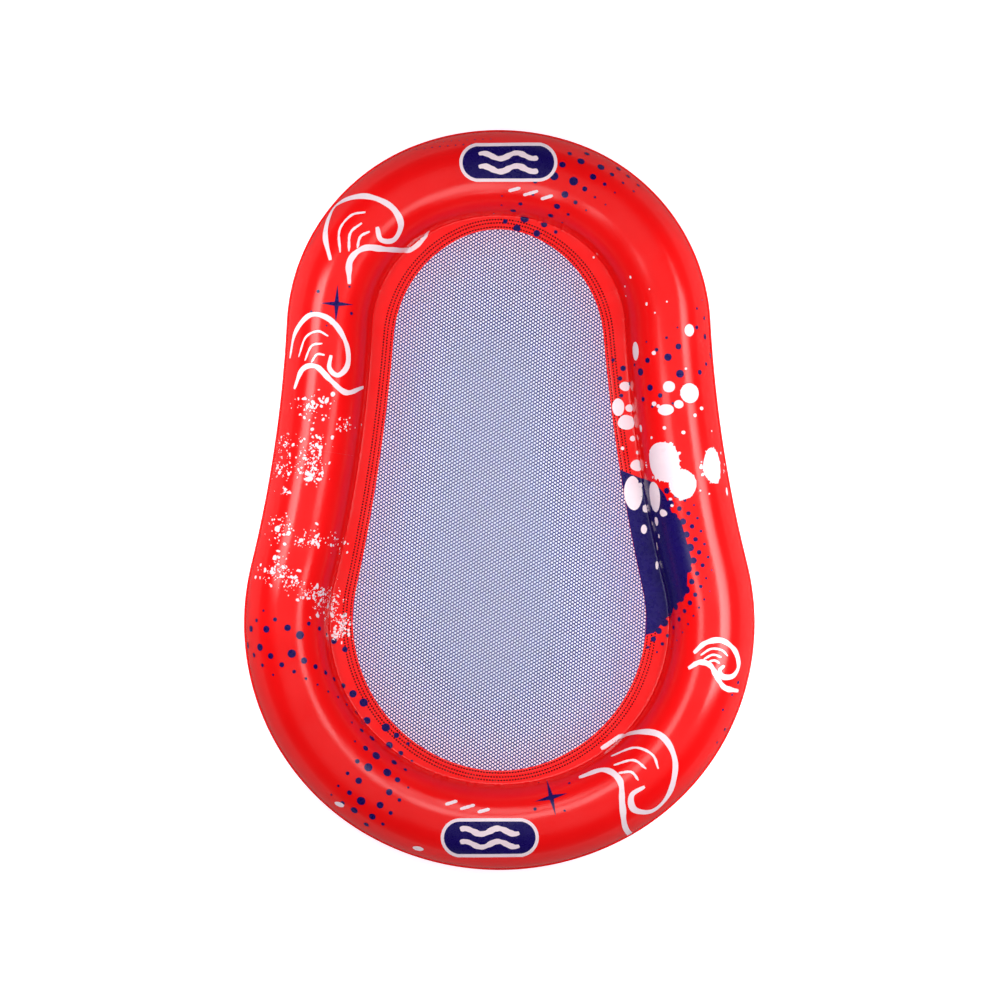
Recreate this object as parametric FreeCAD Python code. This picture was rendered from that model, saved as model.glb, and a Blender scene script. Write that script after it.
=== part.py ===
import FreeCAD, Part
import math
import os

# A pool float: one oval air ring with a mesh seat, made from two sheets welded face to face.
# Origin: on the floor under the middle of the ring. +Y points to the head end, +X right, +Z up.
# Sizes are in millimetres and angles in degrees.

V = FreeCAD.Vector
UP = V(0, 0, 1)
RIGHT = V(1, 0, 0)
ORIGIN = V(0, 0, 0)
QUARTER = 45

# The ring seen from above, as bends of its right half from head to foot. A negative turn
# bends outward. A last bend, centred on the long axis, closes each outline at the foot.
LENGTH = 1600
RING_BENDS = ((508, 20.4), (432.5, 66.6), (2764, -11), (527.25, 74.5))
WINDOW_LENGTH = 1170
WINDOW_BENDS = ((185, 24), (256.5, 61.2), (4170, -7.6), (326, 85.4))

# The tube's round section, and the narrow band that it stands on.
TUBE_R = 90.4
REST_HALF_WIDTH = 12
MID_Z = math.sqrt(TUBE_R ** 2 - REST_HALF_WIDTH ** 2)
SHEET = 0.35
LIP = 4
TUBE_INSET = LIP + TUBE_R
CREASE_INSET = TUBE_INSET + TUBE_R

# The mesh is held between the two sheets, from just inside the crease.
MESH_THICK = 1.0
MESH_INSET = CREASE_INSET + 2

# Inner walls at the waist part the head chamber from the foot chamber.
DIVIDER_GAP = 0.6
WAIST = 2

# The valve, built upright about its own axis: z = 0 is the tube's surface, +Z points out,
# and the strap lies towards -Y.
COLLAR_R = 16
COLLAR_THICK = 0.8
COLLAR_GAP = 0.05
HOLE_R = 8.6
NECK_R = 8.55
NECK_WALL = 0.7
NECK_TOP = 0.9
BASE_R = 8.4
BASE_THICK = 1
BASE_TOP = -17.65
STEM_R = 5.2
STEM_BORE_R = 3.05
RIM_Z = 2.4
FIT = 0.05
PLAY = 0.3
BAND_THICK = 1
BAND_R = 6.8
FOLD_R = 0.6
STRAP_WIDTH = 5
STRAP_REACH = 14
NOSE_TOP_R = 2.97
NOSE_TIP_R = 2.3
NOSE_LENGTH = 4.5
HEAD_R = 5.6
HEAD_THICK = 1.55
TAB_REACH = 9
FLAP_R = 4.4
FLAP_THICK = 0.5
FLAP_HINGE_Y = -5
FLAP_FOLD_R = 0.35
FLAP_TAIL_WIDTH = 3
FOLD_Z = RIM_Z + PLAY / 2
FLAP_HINGE_Z = BASE_TOP - BASE_THICK - PLAY / 2


def save(name, shape):
    """Write one closed solid to its own file."""
    shape.exportStep("parts/" + name + ".step")


def bends_to_arcs(top_y, bends):
    """The right half of an outline as arcs: centre, radius, bend side, first and last heading."""
    x, y, heading = 0.0, top_y, 0.0
    arcs = []
    for radius, turn in bends:
        side = math.copysign(1, turn)
        centre = V(x - side * radius * math.sin(heading), y - side * radius * math.cos(heading), 0)
        last = heading + math.radians(turn)
        arcs.append((centre, radius, side, heading, last))
        x = centre.x + side * radius * math.sin(last)
        y = centre.y + side * radius * math.cos(last)
        heading = last
    radius = x / math.sin(heading)
    arcs.append((V(0, y - radius * math.cos(heading), 0), radius, 1, heading, math.pi))
    return arcs


def arc_point(arc, heading, inset, z=0):
    """A point at a heading on an arc, moved in from the outline by an inset."""
    centre, radius, side, first, last = arc
    reach = side * radius - inset
    return V(centre.x + reach * math.sin(heading), centre.y + reach * math.cos(heading), z)


def outline_face(arcs, inset, z):
    """The flat face inside an outline that is moved in by an inset."""
    edges = []
    for arc in arcs:
        first, last = arc[3], arc[4]
        points = [arc_point(arc, h, inset, z) for h in (first, (first + last) / 2, last)]
        edges.append(Part.Arc(*points).toShape())
    half = Part.Wire(edges)
    return Part.Face(Part.Wire(Part.sortEdges(half.Edges + half.mirror(ORIGIN, RIGHT).Edges)[0]))


def plate(arcs, inset, low, high):
    """A flat plate inside an outline."""
    return outline_face(arcs, inset, low).extrude(UP * (high - low))


def section_wire(points):
    """A closed wire through (inset, height) points; a point marked as bulge makes an arc."""
    edges = []
    i = 0
    while i < len(points) - 1:
        if len(points[i + 1]) > 2:
            edges.append(Part.Arc(*[V(p[0], 0, p[1]) for p in points[i:i + 3]]).toShape())
            i += 2
        else:
            edges.append(Part.makeLine(*[V(p[0], 0, p[1]) for p in points[i:i + 2]]))
            i += 1
    return Part.Wire(edges)


def on_tube(radius, angle):
    """A point of the tube's section: angle 0 faces the ring's outside, 90 faces up."""
    turn = math.radians(angle)
    return TUBE_INSET - radius * math.cos(turn), MID_Z + radius * math.sin(turn)


def height_angle(radius, height):
    """The angle at which a circle of the tube's section reaches a height above its middle."""
    return math.degrees(math.asin(height / radius))


def top_section():
    """The top sheet's section over the tube, with its outer weld lip."""
    inner_r = TUBE_R - SHEET
    join = height_angle(TUBE_R, SHEET)
    return section_wire([
        (0, MID_Z),
        (0, MID_Z + SHEET),
        on_tube(TUBE_R, join),
        on_tube(TUBE_R, 90) + ("bulge",),
        on_tube(TUBE_R, 180),
        on_tube(inner_r, 180),
        on_tube(inner_r, 90) + ("bulge",),
        on_tube(inner_r, 0),
        (0, MID_Z),
    ])


def bottom_section():
    """The bottom sheet's section, with its lip and the flat band that rests on the floor."""
    inner_r = TUBE_R - SHEET
    join = height_angle(TUBE_R, -SHEET)
    rest = height_angle(TUBE_R, -MID_Z)
    inner_rest = height_angle(inner_r, SHEET - MID_Z)
    return section_wire([
        (0, MID_Z),
        (0, MID_Z - SHEET),
        on_tube(TUBE_R, join),
        on_tube(TUBE_R, -QUARTER) + ("bulge",),
        on_tube(TUBE_R, rest),
        on_tube(TUBE_R, 180 - rest),
        on_tube(TUBE_R, 180 + QUARTER) + ("bulge",),
        on_tube(TUBE_R, 180),
        on_tube(inner_r, 180),
        on_tube(inner_r, 180 + QUARTER) + ("bulge",),
        on_tube(inner_r, 180 - inner_rest),
        on_tube(inner_r, inner_rest),
        on_tube(inner_r, -QUARTER) + ("bulge",),
        on_tube(inner_r, 0),
        (0, MID_Z),
    ])


def stand_at(shape, arc, heading):
    """Put a section drawn as (inset, height) upright across an arc at a heading."""
    placed = shape.copy()
    start = arc_point(arc, heading, 0)
    placed.rotate(ORIGIN, UP, -math.degrees(heading) - 90)
    placed.translate(start)
    return placed


def sweep(section, arc, first, last):
    """Turn a section about an arc's centre, between two headings."""
    face = Part.Face(stand_at(section, arc, first))
    return face.revolve(arc[0], UP, -math.degrees(last - first))


def ring_of(section, arcs):
    """Sweep a section round the whole ring."""
    half = [sweep(section, arc, arc[3], arc[4]) for arc in arcs]
    both = half + [piece.mirror(ORIGIN, RIGHT) for piece in half]
    return both[0].multiFuse(both[1:])


def valve_axis(end):
    """The middle of a valve on the tube's surface, 45 degrees under the outer seam."""
    out = math.cos(math.radians(QUARTER))
    reach = LENGTH / 2 - TUBE_INSET + TUBE_R * out
    return V(0, end * reach, MID_Z - TUBE_R * out), V(0, end * out, -out)


def seat_valve(shape, end):
    """Move a piece from the valve's own upright frame to the head (1) or foot (-1) end."""
    placed = shape.copy()
    placed.rotate(ORIGIN, RIGHT, -3 * QUARTER)
    placed.translate(valve_axis(1)[0])
    if end < 0:
        placed.rotate(ORIGIN, UP, 180)
    return placed


def tube(outer_r, inner_r, low, high):
    """An upright tube between two heights."""
    outer = Part.makeCylinder(outer_r, high - low, V(0, 0, low))
    return outer.cut(Part.makeCylinder(inner_r, high - low, V(0, 0, low)))


def bar(width, near, far, low, high):
    """A flat bar along Y, between two distances and two heights."""
    return Part.makeBox(width, far - near, high - low, V(-width / 2, near, low))


def roll(radius, width, y, z):
    """A round bar along X, on the line that a soft part folds about."""
    return Part.makeCylinder(radius, width, V(-width / 2, y, z), RIGHT)


def collar(arc, end):
    """The valve's round flange, curved to lie on the tube."""
    inner = TUBE_R + COLLAR_GAP
    outer = inner + COLLAR_THICK
    spread = math.degrees(COLLAR_R / TUBE_R) * 1.5
    corners = [on_tube(r, a - QUARTER) for r in (inner, outer) for a in (-spread, 0, spread)]
    points = corners[:1] + [corners[1] + ("bulge",)] + corners[2:3]
    points += corners[5:6] + [corners[4] + ("bulge",)] + corners[3:4] + corners[:1]
    half_turn = COLLAR_R * 1.5 / arc[1]
    middle = 0 if end > 0 else math.pi
    patch = sweep(section_wire(points), arc, middle - half_turn, middle + half_turn)
    disc = seat_valve(tube(COLLAR_R, HOLE_R, -COLLAR_R, COLLAR_R), end)
    return patch.common(disc)


def neck():
    """The soft sleeve between the collar and the stem, folded in when the stem is pushed home."""
    return tube(NECK_R, NECK_R - NECK_WALL, BASE_TOP + FIT, NECK_TOP)


def stem():
    """The tube that is blown into, with the wide base that the neck is joined to."""
    bore = Part.makeCylinder(STEM_BORE_R, RIM_Z - BASE_TOP + BASE_THICK, V(0, 0, BASE_TOP - BASE_THICK))
    barrel = Part.makeCylinder(STEM_R, RIM_Z - BASE_TOP, V(0, 0, BASE_TOP))
    base = Part.makeCylinder(BASE_R, BASE_THICK, V(0, 0, BASE_TOP - BASE_THICK))
    fold = roll(FLAP_FOLD_R, FLAP_TAIL_WIDTH, FLAP_HINGE_Y, FLAP_HINGE_Z)
    return barrel.multiFuse([base, fold]).cut(bore).removeSplitter()


def strap():
    """The band round the stem's rim, and the strap that runs out from it to the fold."""
    low = RIM_Z - BAND_THICK
    arm = bar(STRAP_WIDTH, -STRAP_REACH, -STEM_R, low, RIM_Z)
    fold = roll(FOLD_R, STRAP_WIDTH, -STRAP_REACH, FOLD_Z)
    band = Part.makeCylinder(BAND_R, BAND_THICK, V(0, 0, low)).multiFuse([arm, fold])
    return band.cut(Part.makeCylinder(STEM_R + FIT, BAND_THICK, V(0, 0, low))).removeSplitter()


def stopper():
    """The plug, with its head, pull tab and the half of the strap that folds back over."""
    head_low = RIM_Z + FIT
    arm_low = RIM_Z + PLAY
    nose_low = RIM_Z - NOSE_LENGTH
    nose = Part.makeCone(NOSE_TIP_R, NOSE_TOP_R, head_low - nose_low, V(0, 0, nose_low))
    head = Part.makeCylinder(HEAD_R, HEAD_THICK, V(0, 0, head_low))
    arm = bar(STRAP_WIDTH, -STRAP_REACH, TAB_REACH, arm_low, arm_low + BAND_THICK)
    fold = roll(FOLD_R + FIT, STRAP_WIDTH, -STRAP_REACH, FOLD_Z)
    return nose.multiFuse([head, arm]).cut(fold).removeSplitter()


def flap():
    """The one-way flap under the stem's bore, with the tail it bends at."""
    top = BASE_TOP - BASE_THICK - PLAY
    disc = Part.makeCylinder(FLAP_R, FLAP_THICK, V(0, 0, top - FLAP_THICK))
    tail = bar(FLAP_TAIL_WIDTH, FLAP_HINGE_Y, 0, top - FLAP_THICK, top)
    fold = roll(FLAP_FOLD_R + FIT, FLAP_TAIL_WIDTH, FLAP_HINGE_Y, FLAP_HINGE_Z)
    return disc.fuse(tail).cut(fold).removeSplitter()


def divider(arc):
    """The round inner wall across the right side of the ring."""
    middle = (arc[3] + arc[4]) / 2
    radius = TUBE_R - SHEET - DIVIDER_GAP
    rest = height_angle(radius, SHEET + DIVIDER_GAP - MID_Z)
    points = [on_tube(radius, rest), on_tube(radius, 90) + ("bulge",), on_tube(radius, 180 - rest)]
    half_turn = SHEET / arc[1] / 2
    return sweep(section_wire(points + points[:1]), arc, middle - half_turn, middle + half_turn)


def main():
    """Build every piece and write it out."""
    os.makedirs("parts", exist_ok=True)
    ring_arcs = bends_to_arcs(LENGTH / 2, RING_BENDS)
    window_arcs = bends_to_arcs(WINDOW_LENGTH / 2, WINDOW_BENDS)
    half_mesh = MESH_THICK / 2

    top_low = MID_Z + half_mesh
    window = plate(window_arcs, 0, 0, 2 * MID_Z)
    top_flange = plate(ring_arcs, CREASE_INSET - SHEET / 2, top_low, top_low + SHEET).cut(window)
    save("top_skin", ring_of(top_section(), ring_arcs).fuse(top_flange).removeSplitter())

    low_top = MID_Z - half_mesh
    low_flange = plate(ring_arcs, CREASE_INSET - SHEET / 2, low_top - SHEET, low_top).cut(window)
    low_skin = ring_of(bottom_section(), ring_arcs).fuse(low_flange).removeSplitter()
    hole = Part.makeCylinder(HOLE_R, 2 * COLLAR_R, V(0, 0, -COLLAR_R))
    holes = [seat_valve(hole, end) for end in (1, -1)]
    save("bottom_skin", low_skin.cut(holes[0]).cut(holes[1]))

    save("mesh_panel", plate(ring_arcs, MESH_INSET, low_top, top_low))
    wall = divider(ring_arcs[WAIST])
    save("right_divider", wall)
    save("left_divider", wall.mirror(ORIGIN, RIGHT))

    moulded = {"neck": neck(), "stem": stem(), "strap": strap(), "stopper": stopper(), "flap": flap()}
    for end_name, end, arc in (("head", 1, ring_arcs[0]), ("foot", -1, ring_arcs[-1])):
        save(end_name + "_valve_collar", collar(arc, end))
        for name, shape in moulded.items():
            save(end_name + "_valve_" + name, seat_valve(shape, end))


main()
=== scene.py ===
"""The looks of an inflatable pool float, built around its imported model.

Sizes are in metres and angles in degrees unless a name says otherwise. The origin is on the floor
under the middle of the ring, +Y points to the head end and +Z points up.
"""

import logging
import math
from dataclasses import dataclass, field
from enum import Enum

import bpy
import numpy as np
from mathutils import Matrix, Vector
from mathutils.geometry import delaunay_2d_cdt


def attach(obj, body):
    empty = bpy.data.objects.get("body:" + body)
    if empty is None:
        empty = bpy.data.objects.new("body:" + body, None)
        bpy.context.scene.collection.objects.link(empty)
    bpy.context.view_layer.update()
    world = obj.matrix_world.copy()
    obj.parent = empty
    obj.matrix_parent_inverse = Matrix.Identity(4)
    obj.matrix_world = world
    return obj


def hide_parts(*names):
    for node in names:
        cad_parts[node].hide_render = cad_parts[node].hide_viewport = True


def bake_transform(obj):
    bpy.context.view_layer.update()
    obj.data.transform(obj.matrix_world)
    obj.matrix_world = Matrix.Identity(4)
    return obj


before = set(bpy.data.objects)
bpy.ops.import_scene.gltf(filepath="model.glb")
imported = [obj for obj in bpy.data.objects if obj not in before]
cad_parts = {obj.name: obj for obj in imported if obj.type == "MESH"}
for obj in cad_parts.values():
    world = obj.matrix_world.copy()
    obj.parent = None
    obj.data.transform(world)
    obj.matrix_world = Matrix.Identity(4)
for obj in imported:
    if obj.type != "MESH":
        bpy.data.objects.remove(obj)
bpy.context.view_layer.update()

LOG = logging.getLogger("pool_float")
MM = 0.001
Colour = tuple[float, float, float]
Point = tuple[float, float]


class Side(Enum):
    """Which of the two welded sheets a surface belongs to."""

    TOP = 1
    BOTTOM = -1


class End(Enum):
    """Which end of the ring a valve sits at."""

    HEAD = 1
    FOOT = -1


# ---------------------------------------------------------------- finishes


@dataclass(frozen=True)
class Finish:
    """A moulded, printed or woven surface with its own small unevenness.

    Attributes:
        name: The material's name.
        light: Base colour where the surface is palest.
        dark: Base colour where it is deepest.
        mottle: Size of the colour's slow clouds.
        gloss: Lowest and highest roughness.
        grain: Size of the surface's fine texture.
        relief: Height of that texture.
        see_through: Share of light that passes through.
        sheen: Strength of a cloth-like sheen.
    """

    name: str
    light: Colour
    dark: Colour
    mottle: float = 0.12
    gloss: tuple[float, float] = (0.2, 0.3)
    grain: float = 0.004
    relief: float = 0.00002
    see_through: float = 0.0
    sheen: float = 0.0

    def make(self) -> bpy.types.Material:
        """Build the finish as a material of nodes.

        Returns:
            The material.
        """
        material = bpy.data.materials.new(self.name)
        material.use_nodes = True
        nodes, links = material.node_tree.nodes, material.node_tree.links
        shader = nodes["Principled BSDF"]
        place = nodes.new("ShaderNodeTexCoord")

        clouds = nodes.new("ShaderNodeTexNoise")
        clouds.inputs["Scale"].default_value = 1 / self.mottle
        clouds.inputs["Detail"].default_value = 4
        links.new(place.outputs["Object"], clouds.inputs["Vector"])
        tint = nodes.new("ShaderNodeValToRGB")
        tint.color_ramp.elements[0].position = 0.35
        tint.color_ramp.elements[1].position = 0.65
        tint.color_ramp.elements[0].color = (*self.dark, 1)
        tint.color_ramp.elements[1].color = (*self.light, 1)
        links.new(clouds.outputs["Fac"], tint.inputs["Fac"])
        links.new(tint.outputs["Color"], shader.inputs["Base Color"])

        smears = nodes.new("ShaderNodeTexNoise")
        smears.inputs["Scale"].default_value = 3 / self.mottle
        smears.inputs["Detail"].default_value = 3
        links.new(place.outputs["Object"], smears.inputs["Vector"])
        shine = nodes.new("ShaderNodeMapRange")
        shine.inputs["From Min"].default_value = 0.3
        shine.inputs["From Max"].default_value = 0.7
        shine.inputs["To Min"].default_value = self.gloss[0]
        shine.inputs["To Max"].default_value = self.gloss[1]
        links.new(smears.outputs["Fac"], shine.inputs["Value"])
        links.new(shine.outputs["Result"], shader.inputs["Roughness"])

        grain = nodes.new("ShaderNodeTexNoise")
        grain.inputs["Scale"].default_value = 1 / self.grain
        grain.inputs["Detail"].default_value = 2
        links.new(place.outputs["Object"], grain.inputs["Vector"])
        bump = nodes.new("ShaderNodeBump")
        bump.inputs["Distance"].default_value = self.relief
        links.new(grain.outputs["Fac"], bump.inputs["Height"])
        links.new(bump.outputs["Normal"], shader.inputs["Normal"])

        shader.inputs["Transmission Weight"].default_value = self.see_through
        shader.inputs["Sheen Weight"].default_value = self.sheen
        return material


RED_VINYL = Finish("red_vinyl", (0.97, 0.006, 0.007), (0.93, 0.004, 0.005), 0.18, (0.17, 0.22),
                   0.006, 0.000012)
NAVY_INK = Finish("navy_ink", (0.010, 0.003, 0.115), (0.007, 0.002, 0.095), 0.03, (0.24, 0.32),
                  0.003, 0.00001)
PALE_INK = Finish("pale_ink", (0.97, 0.80, 0.86), (0.94, 0.74, 0.82), 0.05, (0.26, 0.34),
                  0.003, 0.00001)
# Very dark red: the weld dots are drawn as flat ovals, far darker than the vinyl round them.
WELD_DOTS = Finish("weld_dots", (0.045, 0.001, 0.003), (0.030, 0.001, 0.002), 0.02, (0.20, 0.26),
                   0.002, 0.00001)
KNOT_YARN = Finish("knot_yarn", (0.012, 0.019, 0.105), (0.009, 0.014, 0.075), 0.02, (0.55, 0.7),
                   0.0008, 0.00008, sheen=0.2)
SLANT_YARN = Finish("slant_yarn", (0.062, 0.080, 0.350), (0.050, 0.064, 0.280), 0.02, (0.55, 0.7),
                    0.0008, 0.00008, sheen=0.2)
VALVE_VINYL = Finish("valve_vinyl", (0.86, 0.87, 0.88), (0.80, 0.81, 0.83), 0.02, (0.22, 0.3),
                     0.001, 0.00001, see_through=0.35)
STOPPER_VINYL = Finish("stopper_vinyl", (0.90, 0.91, 0.92), (0.84, 0.85, 0.87), 0.02, (0.25, 0.33),
                       0.001, 0.00001, see_through=0.2)
WALL_VINYL = Finish("wall_vinyl", (0.75, 0.03, 0.04), (0.68, 0.02, 0.03), 0.05, (0.3, 0.4),
                    0.004, 0.00002)


# ---------------------------------------------------------------- outlines and surface


class Outline:
    """A smooth closed line, drawn as bends of its right half from the head to the foot."""

    def __init__(self, top_y: float, bends: tuple[Point, ...]) -> None:
        """Chain the bends into arcs, and close them with one centred on the long axis.

        Args:
            top_y: Where the line crosses the long axis at the head end.
            bends: Radius and turn of each bend; a negative turn bends outward.
        """
        x, y, heading = 0.0, top_y, 0.0
        arcs = []
        for radius, turn in bends:
            side = math.copysign(1, turn)
            cx, cy = x - side * radius * math.sin(heading), y - side * radius * math.cos(heading)
            last = heading + math.radians(turn)
            arcs.append((cx, cy, radius, side, heading, last))
            x, y = cx + side * radius * math.sin(last), cy + side * radius * math.cos(last)
            heading = last
        radius = x / math.sin(heading)
        arcs.append((0.0, y - radius * math.cos(heading), radius, 1.0, heading, math.pi))
        self.arcs = np.array(arcs)
        lengths = self.arcs[:, 2] * np.abs(self.arcs[:, 5] - self.arcs[:, 4])
        self.starts = np.concatenate([[0.0], np.cumsum(lengths)])
        self.half = float(self.starts[-1])
        self.length = 2 * self.half

    def _walk(self, along: np.ndarray) -> tuple[np.ndarray, ...]:
        """Find the arc and heading at distances round the line.

        Args:
            along: Distances, clockwise from the head end.

        Returns:
            Centre x and y, radius, side, heading, and -1 on the left half or 1 on the right.
        """
        along = np.mod(along, self.length)
        left = along > self.half
        walked = np.where(left, self.length - along, along)
        index = np.clip(np.searchsorted(self.starts, walked, side="right") - 1, 0, len(self.arcs) - 1)
        cx, cy, radius, side, first = (self.arcs[index, k] for k in range(5))
        heading = first + side * (walked - self.starts[index]) / radius
        return cx, cy, radius, side, heading, np.where(left, -1.0, 1.0)

    def at(self, along: np.ndarray, inset: np.ndarray) -> tuple[np.ndarray, np.ndarray]:
        """Give points at distances round the line and insets from it.

        Args:
            along: Distances, clockwise from the head end.
            inset: Distances in from the line.

        Returns:
            The points' x and y.
        """
        cx, cy, radius, side, heading, hand = self._walk(along)
        reach = side * radius - inset
        return hand * (cx + reach * np.sin(heading)), cy + reach * np.cos(heading)

    def shrink(self, along: np.ndarray, inset: np.ndarray) -> np.ndarray:
        """Give how much shorter a step along the line is at an inset.

        Args:
            along: Distances, clockwise from the head end.
            inset: Distances in from the line.

        Returns:
            The length of the inset step for each unit step on the line.
        """
        _, _, radius, side, _, _ = self._walk(along)
        return 1 - side * inset / radius

    def locate(self, x: np.ndarray, y: np.ndarray) -> tuple[np.ndarray, np.ndarray]:
        """Find where points lie against the line.

        Args:
            x: The points' x.
            y: The points' y.

        Returns:
            Their distances round the line, and their insets.
        """
        best = np.full(np.shape(x), np.inf)
        along, inset = np.zeros(np.shape(x)), np.zeros(np.shape(x))
        for index, (cx, cy, radius, side, first, last) in enumerate(self.arcs):
            vx, vy = np.abs(x) - cx, y - cy
            heading = np.arctan2(side * vx, side * vy)
            depth = side * (radius - np.hypot(vx, vy))
            low, high = min(first, last), max(first, last)
            held = np.clip(heading, low, high)
            score = np.abs(depth) + 10 * np.abs(heading - held)
            better = score < best
            best = np.where(better, score, best)
            walked = self.starts[index] + np.abs(held - first) * radius
            along = np.where(better, walked, along)
            inset = np.where(better, depth, inset)
        return np.where(x < 0, self.length - along, along), inset


class Ripple:
    """An uneven ripple round a closed line, summed from many sine waves."""

    def __init__(self, seed: int, fewest: int, most: int, waves: int = 20) -> None:
        """Draw the waves.

        Args:
            seed: Seed of the draw.
            fewest: Fewest waves that fit round the line.
            most: Most waves that fit round it.
            waves: How many waves are summed.
        """
        draw = np.random.default_rng(seed)
        self.turns = draw.integers(fewest, most, waves)
        self.phase = draw.uniform(0, 2 * np.pi, waves)
        self.scale = math.sqrt(2 / waves)

    def at(self, share: np.ndarray) -> np.ndarray:
        """Give the ripple's height, about 1 on average, at shares of the way round."""
        total = np.zeros(np.shape(share))
        for turns, phase in zip(self.turns, self.phase):
            total = total + np.sin(2 * np.pi * share * turns + phase)
        return total * self.scale


@dataclass
class RingShape:
    """The inflated ring: its outline, tube section, flange and small wrinkles."""

    length: float = 1.6
    bends: tuple[Point, ...] = ((0.508, 20.4), (0.4325, 66.6), (2.764, -11.0), (0.52725, 74.5))
    window_length: float = 1.17
    window_bends: tuple[Point, ...] = ((0.185, 24.0), (0.2565, 61.2), (4.17, -7.6), (0.326, 85.4))
    tube_r: float = 0.0904
    rest_half_width: float = 0.012
    sheet: float = 0.00035
    lip: float = 0.004
    mesh_thick: float = 0.001
    crease_r: float = 0.003
    bead_gap: float = 0.0095
    bead_width: float = 0.0016
    bead_rise: float = 0.0004
    seam_pucker: float = 0.00035
    crease_pucker: float = 0.0005
    swell: float = 0.0005
    print_draw: float = 0.169
    bottom_shift: float = 0.37
    seam_reach: float = 0.012
    tube_reach: float = 0.022
    flange_reach: float = 0.014
    outline: Outline = field(init=False)
    window: Outline = field(init=False)

    def __post_init__(self) -> None:
        """Work out the outlines, the flange's width and the ripples."""
        self.mid_z = math.sqrt(self.tube_r ** 2 - self.rest_half_width ** 2)
        self.tube_inset = self.lip + self.tube_r
        self.crease_inset = self.tube_inset + self.tube_r
        self.crease_at = math.pi * self.tube_r
        self.flange_rise = self.mesh_thick / 2 + self.sheet
        self.outline = Outline(self.length / 2, self.bends)
        self.window = Outline(self.window_length / 2, self.window_bends)

        high = self.flange_rise + self.crease_r
        self.fold_centre = self.tube_inset + math.sqrt((self.tube_r + self.crease_r) ** 2 - high ** 2)
        self.fold_tilt = math.asin(high / (self.tube_r + self.crease_r))
        self.fold_from = self.tube_r * (math.pi - self.fold_tilt)
        self.fold_to = self.crease_at + self.fold_centre - self.crease_inset

        self.stations = np.linspace(0, self.outline.length, 1441)
        edge = np.full(self.stations.shape, self.crease_inset + 0.03)
        for _ in range(8):
            _, past = self.window.locate(*self.outline.at(self.stations, edge))
            edge = edge - past
        self.edge_inset = edge

        self.seam_ripple = Ripple(11, 150, 420)
        self.crease_ripple = Ripple(12, 140, 400)
        self.slow_ripple = Ripple(13, 5, 26, 10)
        self.gather = Ripple(14, 12, 60, 10)

    def edge_at(self, along: np.ndarray) -> np.ndarray:
        """Give the section distance of the mesh opening's edge at distances round the ring."""
        inset = np.interp(np.mod(along, self.outline.length), self.stations, self.edge_inset)
        return self.crease_at + inset - self.crease_inset

    def relief(self, along: np.ndarray, across: np.ndarray, side: Side) -> np.ndarray:
        """Give how far wrinkles and the welded bead lift the surface.

        Args:
            along: Distances round the ring.
            across: Section distances from the outer seam.
            side: The sheet.

        Returns:
            The lifts.
        """
        share = along / self.outline.length + (self.bottom_shift if side is Side.BOTTOM else 0.0)
        bunch = np.clip(0.55 + 0.5 * self.gather.at(share), 0, 1.6)
        on_tube = (across > 0) & (across < self.crease_at)
        seam = self.seam_pucker * self.seam_ripple.at(share) * np.exp(-np.abs(across) / self.seam_reach)
        crease = self.crease_pucker * self.crease_ripple.at(share)
        reach = np.where(on_tube, self.tube_reach, self.flange_reach)
        crease = crease * np.exp(-np.abs(across - self.crease_at) / reach)
        slow = self.swell * self.slow_ripple.at(share)
        slow = np.where(on_tube, slow * np.sin(np.clip(across / self.crease_at, 0, 1) * np.pi), 0)
        gap = self.edge_at(along) - across
        bead = self.bead_rise * np.exp(-((gap - self.bead_gap) / self.bead_width) ** 2)
        flange = np.where(across > self.crease_at, bead, 0)
        wrinkles = bunch * (seam * (across > 0) + crease)
        return np.where(across > self.crease_at, np.abs(wrinkles), wrinkles - self.swell) + slow + flange

    def surface(self, along: np.ndarray, across: np.ndarray, lift: float | np.ndarray = 0.0,
                side: Side = Side.TOP) -> np.ndarray:
        """Give points of a sheet's outer face.

        Args:
            along: Distances round the ring.
            across: Section distances from the outer seam; a negative one is on the weld lip.
            lift: Extra distance off the face.
            side: The sheet.

        Returns:
            The points, one row each.
        """
        along, across, lift = np.broadcast_arrays(along, across, lift)
        turn = np.clip(across / self.tube_r, 0, np.pi)
        inset = self.tube_inset - self.tube_r * np.cos(turn)
        rise = self.tube_r * np.sin(turn)
        inward, outward = -np.cos(turn), np.sin(turn)

        on_lip = across < 0
        inset = np.where(on_lip, self.lip + across, inset)
        rise = np.where(on_lip, self.sheet, rise)

        on_flange = across > self.fold_to
        inset = np.where(on_flange, self.crease_inset + across - self.crease_at, inset)
        rise = np.where(on_flange, self.flange_rise, rise)
        flat = on_lip | on_flange

        in_fold = (across > self.fold_from) & ~on_flange
        share = np.clip((across - self.fold_from) / (self.fold_to - self.fold_from), 0, 1)
        tilt = self.fold_tilt + share * (math.pi / 2 - self.fold_tilt)
        inset = np.where(in_fold, self.fold_centre - self.crease_r * np.cos(tilt), inset)
        rise = np.where(in_fold, self.flange_rise + self.crease_r * (1 - np.sin(tilt)), rise)
        inward = np.where(flat, 0, np.where(in_fold, np.cos(tilt), inward))
        outward = np.where(flat, 1, np.where(in_fold, np.sin(tilt), outward))

        lift = lift + self.relief(along, across, side)
        x, y = self.outline.at(along, inset + inward * lift)
        z = self.mid_z + side.value * (rise + outward * lift)
        return np.stack([x, y, np.maximum(z, 0)], axis=-1)

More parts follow.
